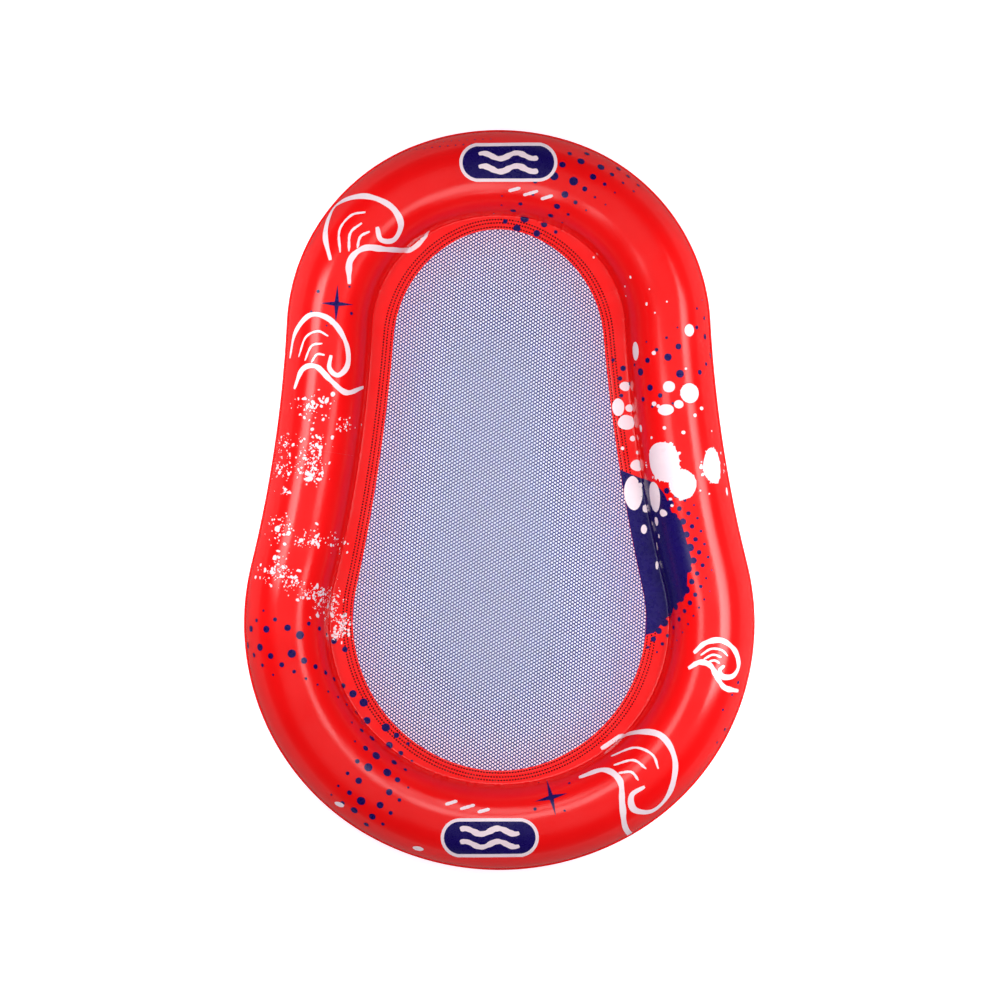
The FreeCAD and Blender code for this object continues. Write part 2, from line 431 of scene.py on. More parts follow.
    def unroll(self, points: np.ndarray) -> tuple[np.ndarray, np.ndarray]:
        """Lay flat artwork points on the top sheet; it draws in a little as the tube rises.

        Args:
            points: Artwork points as (x, y) rows.

        Returns:
            Distances round the ring, kept within half a turn of the first point, and section
            distances from the outer seam.
        """
        x, y = points[:, 0], points[:, 1]
        shrink = np.ones(len(points))
        for _ in range(3):
            along, inset = self.outline.locate(x * shrink, y * shrink)
            turn = np.arccos(np.clip((self.tube_inset - inset) / self.tube_r, -1, 1))
            shrink = 1 - self.print_draw * self.tube_r * np.sin(turn)
        across = np.where(inset > self.crease_inset, self.crease_at + inset - self.crease_inset,
                          self.tube_r * turn)
        half = self.outline.half
        along = along[0] + np.mod(along - along[0] + half, 2 * half) - half
        return along, across

    def inset_of(self, across: np.ndarray) -> np.ndarray:
        """Give the inset of section distances from the outer seam."""
        turn = np.clip(across / self.tube_r, 0, np.pi)
        on_flange = np.maximum(across - self.crease_at, 0)
        return self.tube_inset - self.tube_r * np.cos(turn) + on_flange


# ---------------------------------------------------------------- mesh helpers


def mesh_piece(name: str, points: np.ndarray, faces: np.ndarray | list,
               smooth: bool = True) -> bpy.types.Object:
    """Make a mesh object.

    Args:
        name: The piece's name.
        points: Its points, one row each.
        faces: Its faces, as rows of point numbers.
        smooth: Whether it is shaded smooth.

    Returns:
        The object, linked to the scene.
    """
    mesh = bpy.data.meshes.new(name)
    mesh.from_pydata(np.asarray(points).reshape(-1, 3).tolist(), [], [list(map(int, f)) for f in faces])
    mesh.validate()
    if smooth:
        mesh.polygons.foreach_set("use_smooth", np.ones(len(mesh.polygons), bool))
    piece = bpy.data.objects.new(name, mesh)
    bpy.context.scene.collection.objects.link(piece)
    return piece


def grid_faces(columns: int, rows: int, closed: bool, flip: bool) -> np.ndarray:
    """Number the four-sided faces of a grid whose points run row by row within each column.

    Args:
        columns: Number of columns.
        rows: Number of points in each column.
        closed: Whether the last column joins the first.
        flip: Whether the faces turn the other way.

    Returns:
        The faces.
    """
    count = columns if closed else columns - 1
    i, j = np.meshgrid(np.arange(count), np.arange(rows - 1), indexing="ij")
    after = (i + 1) % columns
    faces = np.stack([i * rows + j, after * rows + j, after * rows + j + 1, i * rows + j + 1], axis=-1)
    faces = faces.reshape(-1, 4)
    return faces[:, ::-1] if flip else faces


def settle(piece: bpy.types.Object, finish: Finish, body: str,
           stands_for: tuple[str, ...] = ()) -> bpy.types.Object:
    """Give a piece its finish and its body, and hide the nodes that it replaces.

    Args:
        piece: The piece.
        finish: Its finish.
        body: The body that it rides on.
        stands_for: The nodes that it replaces.

    Returns:
        The piece.
    """
    piece.data.materials.append(finish.make())
    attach(piece, body)
    if stands_for:
        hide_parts(*stands_for)
    LOG.info("%s: %d faces, rides on %s", piece.name, len(piece.data.polygons), body)
    return piece


# ---------------------------------------------------------------- the two sheets


@dataclass
class Skins:
    """The top and bottom vinyl sheets, welded at the outer seam and round the mesh."""

    shape: RingShape
    columns: int = 1240
    low_columns: int = 900
    tube_rows: int = 23
    weld_band: float = 0.024
    flat: Point = (1.208, 1.703)
    flat_area: float = 1.222
    valve_hole_r: float = 0.0102
    valve_hole_depth: float = 0.02
    valve_rows: Point = (0.057, 0.085)
    valve_row_step: float = 0.004
    weld_rows: tuple[float, ...] = (0.017, 0.0125, 0.0107, 0.0095, 0.0083, 0.0065, 0.003, 0.0)

    def rows(self, along: np.ndarray, side: Side) -> np.ndarray:
        """Set out the section distances of each row of points, closer together beside the valves.

        Args:
            along: Distances round the ring, one for each column.
            side: Which sheet.

        Returns:
            One row of section distances for each column.
        """
        shape = self.shape
        edge = shape.edge_at(along)[:, None]
        lip = np.array([-shape.lip, -0.6 * shape.lip, -0.2 * MM])
        tube = np.linspace(4 * MM, shape.fold_from, self.tube_rows)
        if side is Side.BOTTOM:
            near, far = self.valve_rows
            step = self.valve_row_step
            tube = np.concatenate([np.linspace(4 * MM, near - step, 5), np.linspace(near, far, 8),
                                   np.linspace(far + step, shape.fold_from, 15)])
        tube = np.append(0.4 * MM, tube)
        fold = np.linspace(shape.fold_from, shape.fold_to, 4)[1:]
        fixed = np.tile(np.concatenate([lip, tube, fold]), (len(along), 1))
        share = np.array([0.25, 0.6])
        middle = shape.fold_to + (edge - self.weld_band - shape.fold_to) * share
        gaps = np.array([self.weld_band, *self.weld_rows])
        return np.concatenate([fixed, middle, edge - gaps], axis=1)

    def build(self, side: Side) -> bpy.types.Object:
        """Build one sheet as a thin closed skin.

        Args:
            side: Which sheet.

        Returns:
            The sheet.
        """
        shape = self.shape
        top = side is Side.TOP
        columns = self.columns if top else self.low_columns
        along = np.linspace(0, shape.outline.length, columns, endpoint=False)
        across = self.rows(along, side)
        points = shape.surface(along[:, None], across, 0.0, side)
        faces = grid_faces(columns, across.shape[1], True, top)
        points = points.reshape(-1, 3)
        if not top:
            points, faces = self.cut_valve_holes(points, faces)
        piece = mesh_piece("top_sheet" if top else "bottom_sheet", points, faces)
        thicken = piece.modifiers.new("sheet", "SOLIDIFY")
        thicken.thickness = shape.sheet
        thicken.offset = -1
        return piece

    def cut_valve_holes(self, points: np.ndarray, faces: np.ndarray) -> tuple[np.ndarray, np.ndarray]:
        """Open a round hole in the bottom sheet at each valve.

        Args:
            points: The sheet's points.
            faces: Its faces.

        Returns:
            The points and faces that are left.
        """
        for end in End:
            seat = ValveSeat(self.shape, end)
            local = seat.to_local(points)
            reach = np.hypot(local[:, 0], local[:, 1])
            near = np.abs(local[:, 2]) < self.valve_hole_depth
            middle = reach[faces].mean(axis=1)
            gone = (middle < self.valve_hole_r) & near[faces].all(axis=1)
            rim = np.intersect1d(faces[gone], faces[~gone])
            scale = self.valve_hole_r / reach[rim]
            local[rim, 0] *= scale
            local[rim, 1] *= scale
            local[rim, 2] = seat.skin_height(local[rim, 0], local[rim, 1])
            points[rim] = seat.to_world(local[rim])
            faces = faces[~gone]
        used, faces = np.unique(faces, return_inverse=True)
        return points[used], faces.reshape(-1, 4)

    def dress(self) -> None:
        """Build both sheets and give them their finish."""
        for side, node, slot in ((Side.TOP, "top_skin", "top_vinyl"),
                                 (Side.BOTTOM, "bottom_skin", "bottom_vinyl")):
            piece = settle(self.build(side), RED_VINYL, "ring", (node,))


@dataclass
class WeldDots:
    """The rows of small heat-weld dots that hold the mesh between the sheets."""

    shape: RingShape
    gaps: tuple[float, ...] = (0.0052, 0.0140, 0.0212)
    pitch: float = 0.0062
    half_length: float = 0.0021
    half_width: float = 0.0018
    corners: int = 8
    lift: float = 0.00020

    # Each dot is a flat oval in a very dark red, laid just over the flange.
    def build(self) -> bpy.types.Object:
        """Set one small oval for each weld.

        Returns:
            All the ovals as one piece.
        """
        shape = self.shape
        points, faces = [], []
        turn = np.linspace(0, 2 * np.pi, self.corners, endpoint=False)
        for row, gap in enumerate(self.gaps):
            stations = np.linspace(0, shape.outline.length, 2001)
            pace = shape.outline.shrink(stations, shape.inset_of(shape.edge_at(stations) - gap))
            walked = np.append(0, np.cumsum((pace[1:] + pace[:-1]) / 2 * np.diff(stations)))
            count = int(walked[-1] / self.pitch)
            along = np.interp((np.arange(count) + 0.5 * (row % 2)) * walked[-1] / count, walked, stations)
            across = shape.edge_at(along) - gap
            step = shape.outline.shrink(along, shape.inset_of(across))
            ring_along = along[:, None] + np.cos(turn) * (self.half_length / step)[:, None]
            ring_across = shape.edge_at(ring_along) - gap + np.sin(turn) * self.half_width
            rim = shape.surface(ring_along, ring_across, self.lift)
            start = sum(len(p) for p in points)
            points.append(rim.reshape(-1, 3))
            numbers = start + np.arange(count)[:, None] * self.corners + np.arange(self.corners)
            faces.extend(numbers[:, ::-1].tolist())
        return mesh_piece("weld_dots", np.concatenate(points), faces, smooth=False)

    def dress(self) -> None:
        """Build the welds and give them their finish."""
        settle(self.build(), WELD_DOTS, "ring")


# ---------------------------------------------------------------- print


@dataclass
class InkLayer:
    """One printed colour on the top sheet, collected shape by shape."""

    shape: RingShape
    name: str
    finish: Finish
    lift: float
    spacing: float = 0.0045
    edge_margin: float = 0.0004

    def __post_init__(self) -> None:
        """Start with nothing printed."""
        self.points: list[np.ndarray] = []
        self.faces: list[list[int]] = []
        self.count = 0

    def _add(self, along: np.ndarray, across: np.ndarray, faces: list) -> None:
        """Put points and faces on the sheet.

        Args:
            along: Distances round the ring.
            across: Section distances from the outer seam.
            faces: Faces numbered from the first of these points.
        """
        across = np.minimum(across, self.shape.edge_at(along) - self.edge_margin)
        points = self.shape.surface(along, np.maximum(across, 0.3 * MM), self.lift)
        self.points.append(points.reshape(-1, 3))
        self.faces.extend([[int(n) + self.count for n in face] for face in faces])
        self.count += len(self.points[-1])

    def blob(self, x: float, y: float, rx: float, ry: float, rough: float = 0.0, seed: int = 0,
             turn: float = 0.0, corners: int = 20) -> None:
        """Print a dot, oval or splash.

        Args:
            x: Middle of the blob in millimetres.
            y: Middle of the blob in millimetres.
            rx: Half width in millimetres.
            ry: Half height in millimetres.
            rough: How uneven its rim is, as a share of its size.
            seed: Seed of the unevenness.
            turn: Turn of the blob in degrees.
            corners: Number of points round its rim.
        """
        middle = np.array([[x, y]]) * MM
        along, across = self.shape.unroll(middle)
        px, py = self.shape.outline.at(along, self.shape.inset_of(across))
        qx, qy = self.shape.outline.at(along + MM, self.shape.inset_of(across))
        facing = math.atan2(float(qy[0] - py[0]), float(qx[0] - px[0]))
        step = float(self.shape.outline.shrink(along, self.shape.inset_of(across))[0])
        around = np.linspace(0, 2 * np.pi, corners, endpoint=False)
        rim = np.ones(corners)
        if rough:
            draw = np.random.default_rng(seed)
            for waves in range(2, 6):
                rim += rough * draw.normal() * 0.30 / waves * np.cos(waves * around + draw.uniform(0, 7))
            if corners > 40:
                rim += rough * 0.55 * draw.uniform(0, 1, corners) ** 4
        rings = max(1, int(max(rx, ry) * MM / self.spacing))
        spin = math.radians(turn)
        us, vs = [np.zeros(1)], [np.zeros(1)]
        for ring in range(1, rings + 1):
            share = ring / rings
            ex, ey = rx * MM * rim * share * np.cos(around), ry * MM * rim * share * np.sin(around)
            dx = ex * math.cos(spin) - ey * math.sin(spin)
            dy = ex * math.sin(spin) + ey * math.cos(spin)
            us.append((dx * math.cos(facing) + dy * math.sin(facing)) / step)
            vs.append(dx * math.sin(facing) - dy * math.cos(facing))
        faces = [[0, 1 + (k + 1) % corners, 1 + k] for k in range(corners)]
        for ring in range(rings - 1):
            a, b = 1 + ring * corners, 1 + (ring + 1) * corners
            faces += [[a + k, a + (k + 1) % corners, b + (k + 1) % corners, b + k] for k in range(corners)]
        self._add(along[0] + np.concatenate(us), across[0] + np.concatenate(vs), faces)

    def stroke(self, path: list[Point], width: float, taper: float = 0.25, wobble: int = 0) -> None:
        """Print a brushed line.

        Args:
            path: Points that the line passes through, in millimetres.
            width: Its width in millimetres.
            taper: Share of its length over which each end narrows.
            wobble: Seed of the unevenness of its width.
        """
        line = smooth_line(np.array(path, float) * MM, 0.003)
        along, across = self.shape.unroll(line)
        step = self.shape.outline.shrink(along, self.shape.inset_of(across))
        da, dv = np.gradient(along) * step, np.gradient(across)
        size = np.hypot(da, dv) + 1e-9
        da, dv = da / size, dv / size
        share = np.linspace(0, 1, len(line))
        ends = np.clip(np.minimum(share, 1 - share) / max(taper, 1e-3), 0, 1)
        draw = np.random.default_rng(wobble)
        waver = 1 + 0.10 * np.sin(share * 23 + draw.uniform(0, 6))
        waver = waver + 0.07 * np.sin(share * 51 + draw.uniform(0, 6))
        half = width * MM / 2 * (0.45 + 0.55 * np.sqrt(ends)) * waver
        sides = np.array([-1.0, 0.0, 1.0])
        us = along[:, None] - (dv * half / step)[:, None] * sides
        vs = across[:, None] + (da * half)[:, None] * sides
        faces = grid_faces(len(line), 3, False, True)
        self._add(us.reshape(-1), vs.reshape(-1), faces.tolist())

    def area(self, rim: np.ndarray) -> None:
        """Print a filled area.

        Args:
            rim: Its closed outline as (x, y) rows in metres.
        """
        along, across = self.shape.unroll(rim)
        across = np.minimum(across, self.shape.edge_at(along) - self.edge_margin)
        self.fill(np.stack([along, across], axis=1))

    def fill(self, rim: np.ndarray) -> None:
        """Fill an outline that is given on the sheet itself.

        Args:
            rim: Distances round the ring and section distances, one row each.
        """
        low, high = rim.min(axis=0), rim.max(axis=0)
        us = np.arange(low[0], high[0], self.spacing)
        vs = np.arange(low[1], high[1], self.spacing)
        grid = np.stack(np.meshgrid(us, vs), axis=-1).reshape(-1, 2)
        grid = grid[inside(grid, rim) & (distance_to(grid, rim) > self.spacing * 0.4)]
        both = np.concatenate([rim, grid])
        ring = [(k, (k + 1) % len(rim)) for k in range(len(rim))]
        made = delaunay_2d_cdt([Vector(p) for p in both.tolist()], ring, [list(range(len(rim)))], 1, 1e-7)
        flat = np.array([tuple(p) for p in made[0]])
        self._add(flat[:, 0], flat[:, 1], [list(f)[::-1] for f in made[2]])

    def dress(self) -> None:
        """Make one piece of everything printed in this colour."""
        piece = mesh_piece(self.name, np.concatenate(self.points), self.faces)
        settle(piece, self.finish, "ring")


def smooth_line(points: np.ndarray, step: float) -> np.ndarray:
    """Draw a smooth line through points.

    Args:
        points: The points, one row each.
        step: Distance between the line's own points.

    Returns:
        The line's points.
    """
    padded = np.vstack([2 * points[0] - points[1], points, 2 * points[-1] - points[-2]])
    parts = []
    for a, b, c, d in zip(padded, padded[1:], padded[2:], padded[3:]):
        t = np.linspace(0, 1, max(2, int(np.linalg.norm(c - b) / step)), endpoint=False)[:, None]
        parts.append(0.5 * (2 * b + (c - a) * t + (2 * a - 5 * b + 4 * c - d) * t ** 2
                            + (3 * b - a - 3 * c + d) * t ** 3))
    return np.vstack([*parts, points[-1]])


def inside(points: np.ndarray, rim: np.ndarray) -> np.ndarray:
    """Tell which points lie inside a closed outline.

    Args:
        points: The points, one row each.
        rim: The outline, one row each.

    Returns:
        True for each point inside.
    """
    x, y = points[:, :1], points[:, 1:]
    after = np.roll(rim, -1, axis=0)
    straddles = (rim[:, 1] > y) != (after[:, 1] > y)
    rise = np.where(after[:, 1] == rim[:, 1], 1e-12, after[:, 1] - rim[:, 1])
    crossing = rim[:, 0] + (y - rim[:, 1]) * (after[:, 0] - rim[:, 0]) / rise
    return (straddles & (x < crossing)).sum(axis=1) % 2 == 1


def distance_to(points: np.ndarray, rim: np.ndarray) -> np.ndarray:
    """Give the distance from points to a closed outline.

    Args:
        points: The points, one row each.
        rim: The outline, one row each.

    Returns:
        The distances.
    """
    after = np.roll(rim, -1, axis=0)
    span = after - rim
    offset = points[:, None, :] - rim
    share = np.clip((offset * span).sum(-1) / np.maximum((span ** 2).sum(-1), 1e-12), 0, 1)
    return np.linalg.norm(offset - share[..., None] * span, axis=-1).min(axis=1)


@dataclass
class Artwork:
    """The print on the top sheet: dots, a navy patch, splashes, brushed waves and wave plates.

    Places and sizes are in millimetres, as the artwork is laid out flat. A splash is a middle, two half
    widths and a roughness; a fleck patch is a middle, two spreads and a count; a wave site is a middle, a
    width, a height, a turn in degrees and a line thickness.
    """

    shape: RingShape

    head_dots: tuple[tuple[float, float, float], ...] = (
        (121, 700, 9), (163, 689, 9.5), (139, 725, 7), (179, 732, 8), (144, 660, 7.5), (205, 698, 7),
        (222, 719, 8), (127, 634, 6.5), (57, 609, 9.5), (187, 672, 5.5), (167, 643, 4.5), (113, 614, 6),
        (99, 596, 7), (40, 587, 8), (32, 625, 6), (83, 576, 7.5), (48, 640, 4.5), (15, 602, 5),
        (80, 689, 5), (155, 749, 5), (192, 748, 6), (246, 703, 5), (230, 682, 4), (270, 685, 3),
        (209, 654, 2.5), (151, 617, 3.5), (124, 579, 4), (138, 599, 2), (293, 667, 2.5), (252, 664, 2),
        (260, 715, 6), (281, 699, 5), (303, 680, 4), (190, 626, 2), (232, 638, 1.8), (7, 637, 2),
        (-10, 618, 2), (8, 657, 1.8), (75, 660, 3))
    side_dots: tuple[tuple[float, float, float], ...] = (
        (440, 431, 2), (429, 413, 3), (445, 392, 4), (429, 372, 4.5), (447, 352, 6), (389, 331, 6.5),
        (366, 308, 8), (321, 301, 5.8), (306, 276, 8), (269, 284, 6), (247, 302, 4), (392, 272, 8.5),
        (435, 275, 5.5), (449, 293, 4.5), (458, 311, 6), (456, 370, 5), (341, 324, 4), (363, 350, 3),
        (387, 372, 2), (319, 341, 2), (293, 291, 3), (327, 242, 7), (312, 217, 5), (349, 225, 5),
        (376, 208, 2.5), (332, 201, 3), (283, 250, 5), (262, 262, 5), (265, 225, 4), (470, 330, 5),
        (470, 280, 4), (410, 240, 4))
    foot_dots: tuple[tuple[float, float, float], ...] = (
        (-525, -259, 4), (-485, -257, 4.5), (-510, -238, 2.5), (-537, -277, 7), (-504, -278, 7.5),
        (-458, -275, 7), (-412, -266, 4.5), (-431, -291, 9), (-389, -277, 5), (-373, -290, 4.5),
        (-358, -304, 6.5), (-334, -322, 6), (-518, -317, 8), (-495, -336, 6.5), (-449, -331, 9),
        (-422, -346, 7), (-397, -359, 5.5), (-375, -372, 5), (-357, -386, 5), (-531, -334, 5),
        (-513, -356, 4), (-471, -355, 5.5), (-444, -370, 4), (-490, -377, 2.5), (-418, -385, 3),
        (-393, -398, 2.5), (-370, -413, 2.5), (-544, -313, 7), (-339, -401, 6), (-317, -418, 8),
        (-294, -437, 9), (-349, -425, 3), (-309, -458, 6), (-330, -441, 3.5), (-287, -476, 8),
        (-319, -480, 2.5), (-298, -497, 5), (-276, -514, 7), (-246, -491, 9), (-313, -521, 2.5),
        (-290, -536, 6), (-267, -552, 9), (-239, -530, 8), (-223, -508, 6), (-214, -547, 5.5),
        (-228, -566, 6.5), (-243, -588, 9), (-284, -577, 9), (-308, -564, 5), (-198, -526, 3.5),
        (-190, -564, 3), (-204, -582, 4), (-221, -604, 6), (-198, -621, 2.5), (-305, -606, 7),
        (-329, -590, 4), (-239, -631, 7), (-217, -648, 4), (-325, -632, 5.5), (-300, -650, 9.5),
        (-259, -659, 7.5), (-236, -676, 4.5), (-315, -670, 8), (-276, -684, 7.5), (-253, -700, 4),
        (-289, -701, 6), (-340, -654, 5), (-349, -617, 3), (-364, -636, 2.5))
    hip_dots: tuple[tuple[float, float, float], ...] = (
        (516, -396, 4), (503, -423, 3), (523, -430, 5), (528, -458, 6), (506, -476, 6.5), (483, -455, 3),
        (510, -512, 7), (487, -497, 4), (470, -525, 3), (491, -541, 5))
    patch_rim: tuple[Point, ...] = (
        (300, 49), (330, 38), (357, 13), (375, -30), (391, -44), (402, -80), (412, -116), (416, -138),
        (407, -160), (405, -196), (395, -217), (378, -229), (372, -247), (358, -259), (345, -275),
        (334, -288))
    screen_along: Point = (7.6, -28.1)
    screen_aside: Point = (11.9, 17.7)
    screen_start: Point = (409.4, -29.9)
    splashes: tuple[tuple[float, float, float, float, float], ...] = (
        (355, 82, 37, 42, 0.28), (397, 33, 29, 31, 0.12), (336, 6, 18, 33, 0.12), (462, 73, 25, 38, 0.22),
        (290, 14, 20, 36, 0.22), (413, 230, 21, 21, 0.1), (368, 244, 13, 12, 0.1), (273, 245, 12, 10, 0.15),
        (258, 200, 13, 19, 0.15), (283, 198, 9.5, 8, 0.2), (276, 167, 19, 16, 0.18), (361, 194, 17, 12, 0.3),
        (389, 206, 10, 9, 0.15), (336, 207, 5.5, 5, 0.1), (424, 182, 4, 4, 0.1), (358, 155, 4, 4, 0.1),
        (399, 145, 4.5, 4, 0.1), (289, 132, 6, 6, 0.1), (307, 154, 4.5, 8, 0.1), (298, 74, 14, 12, 0.2),
        (330, 134, 3, 3, 0.1), (300, 102, 4, 4, 0.1), (267, 111, 4, 4, 0.1), (355, -29, 10, 8, 0.25),
        (340, -47, 6.5, 10, 0.15), (331, -51, 2.5, 5, 0.1), (313, -64, 6.5, 10, 0.15), (345, -79, 3, 5, 0.1),
        (341, -101, 3.5, 10, 0.1), (341, -142, 3.5, 9, 0.1), (318, -19, 8, 9, 0.15), (492, 17, 5, 9, 0.2),
        (306, 31, 4, 5.5, 0.1), (371, 1, 4, 3, 0.1), (374, -13, 4, 3, 0.1), (413, 366, 12, 13, 0.08),
        (295, 321, 10.5, 20, 0.05), (335, 317, 5, 4.5, 0.1), (-347, -657, 12, 7, 0.08),
        (-177, -753, 12, 8, 0.08), (285, 481, 2.5, 3.5, 0.1), (273, 461, 2, 2, 0.1), (320, 423, 2.5, 4, 0.1),
        (338, 404, 1.8, 1.8, 0.1), (364, 428, 2, 2, 0.1), (206, 524, 2.5, 2.5, 0.1), (435, 19, 2, 2, 0.1),
        (454, 12, 2, 2, 0.1), (460, 148, 2, 2, 0.1), (438, 197, 5, 4, 0.1), (275, 440, 1.8, 1.8, 0.1),
        (326, 455, 1.6, 1.6, 0.1), (405, 283, 3, 2.5, 0.1), (345, 202, 4, 4, 0.1))
    fleck_patches: tuple[tuple[float, float, float, float, int], ...] = (
        (-400, 205, 48, 34, 70), (-330, 165, 26, 20, 30), (-470, 118, 34, 26, 60), (-405, 100, 34, 46, 110),
        (-468, 70, 26, 34, 60), (-405, 55, 30, 18, 80), (-460, 20, 14, 12, 20), (-470, -60, 34, 36, 60),
        (-408, -85, 34, 22, 60), (-355, -90, 26, 20, 24), (-485, -150, 40, 34, 90), (-455, -175, 26, 20, 60),
        (-400, -200, 36, 18, 90), (-365, -215, 30, 22, 80), (-345, -285, 24, 26, 80),
        (-375, -240, 30, 24, 50), (-340, -262, 16, 18, 50))
    big_splash: float = 20
    small_splash: float = 6
    drips_from: float = 22
    drips: float = 50
    fleck_least: float = 0.8
    fleck_usual: float = 1.1
    fleck_extra: float = 6.5
    star_arm: float = 41
    star_side: float = 36
    star_waist: float = 4.6
    star_sites: tuple[tuple[float, float, float], ...] = ((-350, 425, -3), (111, -643, 14))
    star_specks: tuple[tuple[float, float, float], ...] = (
        (-390, 452, 4), (-322, 462, 2.5), (-405, 408, 3), (-318, 404, 3.5), (-372, 378, 2), (150, -612, 3),
        (76, -668, 4), (140, -672, 2.5), (84, -610, 2))
    wave_outline: tuple[tuple[Point, ...], ...] = (
        ((0, .50), (.14, .78), (.40, .94), (.68, .84), (.84, .58), (.82, .34), (.66, .24), (.55, .33),
         (.60, .47)),
        ((0, .16), (.16, .36), (.36, .37), (.54, .20), (.74, .04), (1, .07)))
    wave_folds: tuple[tuple[Point, ...], ...] = (
        ((.13, .50), (.27, .70), (.46, .75), (.60, .68)), ((.21, .45), (.34, .60), (.50, .61)),
        ((.30, .42), (.40, .50), (.51, .48)))
    wave_sites: tuple[tuple[float, float, float, float, float, float], ...] = (
        (-282, 583, 240, 225, 38, 12.5), (-378, 318, 173, 229, 8, 11), (476, -352, 138, 121, -20, 11),
        (301, -602, 242, 268, -38, 12.5))
    wave_scale: float = 0.86
    fold_line: float = 0.42
    plate_middle: Point = (22.0, 730.0)
    plate_half_length: float = 106
    plate_radius: float = 42
    plate_border: float = 7
    plate_waves: Point = (-14, 14)
    plate_line: float = 12
    dashes: tuple[tuple[Point, Point], ...] = (
        ((22, 668), (48, 675)), ((54, 659), (86, 668)), ((92, 650), (118, 658)))
    dash_line: float = 7

    def __post_init__(self) -> None:
        """Start the ink layers, lowest first."""
        self.navy = InkLayer(self.shape, "navy_print", NAVY_INK, 0.00040)
        self.pale = InkLayer(self.shape, "pale_print", PALE_INK, 0.00055)
        self.badge_field = InkLayer(self.shape, "badge_field", NAVY_INK, 0.00070)
        self.badge_marks = InkLayer(self.shape, "badge_marks", PALE_INK, 0.00085)

    def dots(self) -> None:
        """Print the loose navy dots."""
        for x, y, r in (*self.head_dots, *self.side_dots, *self.foot_dots, *self.hip_dots):
            self.navy.blob(x, y, r, r)
        for step in range(11):
            self.navy.blob(-194 + 17 * step, 757 + 14 * math.sin(step * 0.14), 1.8, 1.8, corners=10)
            self.navy.blob(-186 + 17 * step, 768 + 13 * math.sin(step * 0.14), 1.5, 1.5, corners=10)

    def patch(self) -> None:
        """Print the navy patch at the right hip, and the screen of dots that it breaks into."""
        rim = smooth_line(np.array(self.patch_rim, float) * MM, 0.004)
        along, across = self.shape.unroll(rim)
        back = np.arange(along[-1] + 0.010, along[0] - 0.022, -0.004)
        edge = np.stack([back, self.shape.edge_at(back) - self.navy.edge_margin], axis=1)
        flat = np.concatenate([np.stack([along, across], axis=1), edge])
        self.navy.fill(flat)
        plan = rim / MM
        for i in range(-3, 13):
            for j in range(-13, 5):
                x = self.screen_start[0] + i * self.screen_along[0] + j * self.screen_aside[0]
                y = self.screen_start[1] + i * self.screen_along[1] + j * self.screen_aside[1]
                spot = np.array([[x, y]])
                gap = float(distance_to(spot, plan)[0])
                s, v = self.shape.unroll(spot * MM)
                if inside(np.array([[s[0], v[0]]]), flat)[0]:
                    gap = -gap
                size = 8.4 if gap < 4 else 7.4 * (1 - gap / 62)
                if -9 < gap < 52 and size > 1.2 and v[0] < self.shape.edge_at(s)[0] + 0.004:
                    self.navy.blob(x, y, size, size, corners=16)

    def splash(self) -> None:
        """Print the pale splashes and specks."""
        for number, (x, y, rx, ry, rough) in enumerate(self.splashes):
            corners = 72 if rx > self.big_splash else 28 if rx > self.small_splash else 12
            self.pale.blob(x, y, rx, ry, rough, seed=40 + number, corners=corners)
            drip = np.random.default_rng(900 + number)
            for _ in range(int(self.drips * rough) if rx > self.drips_from else 0):
                angle, size = drip.uniform(0, 2 * np.pi), 1.2 + 2.6 * drip.uniform() ** 2
                self.pale.blob(x + rx * math.cos(angle), y + ry * math.sin(angle), size * 1.5, size,
                               turn=math.degrees(angle), corners=8)
        draw = np.random.default_rng(7)
        for x, y, spread_x, spread_y, count in self.fleck_patches:
            for _ in range(count):
                px, py = x + draw.normal() * spread_x * 0.5, y + draw.normal() * spread_y * 0.5
                size = self.fleck_least + min(draw.exponential(self.fleck_usual), self.fleck_extra)
                thin = draw.uniform(0.45, 1.0)
                self.pale.blob(px, py, size, size * thin, 0.5, seed=int(draw.integers(1, 10 ** 6)),
                               turn=draw.uniform(0, 180), corners=8)

    def stars(self) -> None:
        """Print the four-pointed glints."""
        arm, side, waist = self.star_arm, self.star_side, self.star_waist
        tips = np.array([(0, arm), (waist, waist), (side, 0), (waist, -waist), (0, -arm), (-waist, -waist),
                         (-side, 0), (-waist, waist), (0, arm)], float)
        share = np.linspace(0, 8, 80, endpoint=False)
        glint = np.stack([np.interp(share, np.arange(9), column) for column in tips.T], axis=1)
        for x, y, turn in self.star_sites:
            spin = math.radians(turn)
            px = x + glint[:, 0] * math.cos(spin) - glint[:, 1] * math.sin(spin)
            py = y + glint[:, 0] * math.sin(spin) + glint[:, 1] * math.cos(spin)
            self.navy.area(np.stack([px, py], axis=1) * MM)
        for x, y, r in self.star_specks:
            self.navy.blob(x, y, r, r, corners=12)

    def waves(self) -> None:
        """Print the brushed wave drawings."""
        for number, (x, y, width, height, turn, line) in enumerate(self.wave_sites):
            spin = math.radians(turn)
            for strokes, thickness in ((self.wave_outline, line), (self.wave_folds, line * self.fold_line)):
                for path in strokes:
                    local = (np.array(path) - 0.5) * (width * self.wave_scale, height * self.wave_scale)
                    px = x + local[:, 0] * math.cos(spin) - local[:, 1] * math.sin(spin)
                    py = y + local[:, 0] * math.sin(spin) + local[:, 1] * math.cos(spin)
                    self.pale.stroke(list(zip(px, py)), thickness, 0.12, wobble=number)

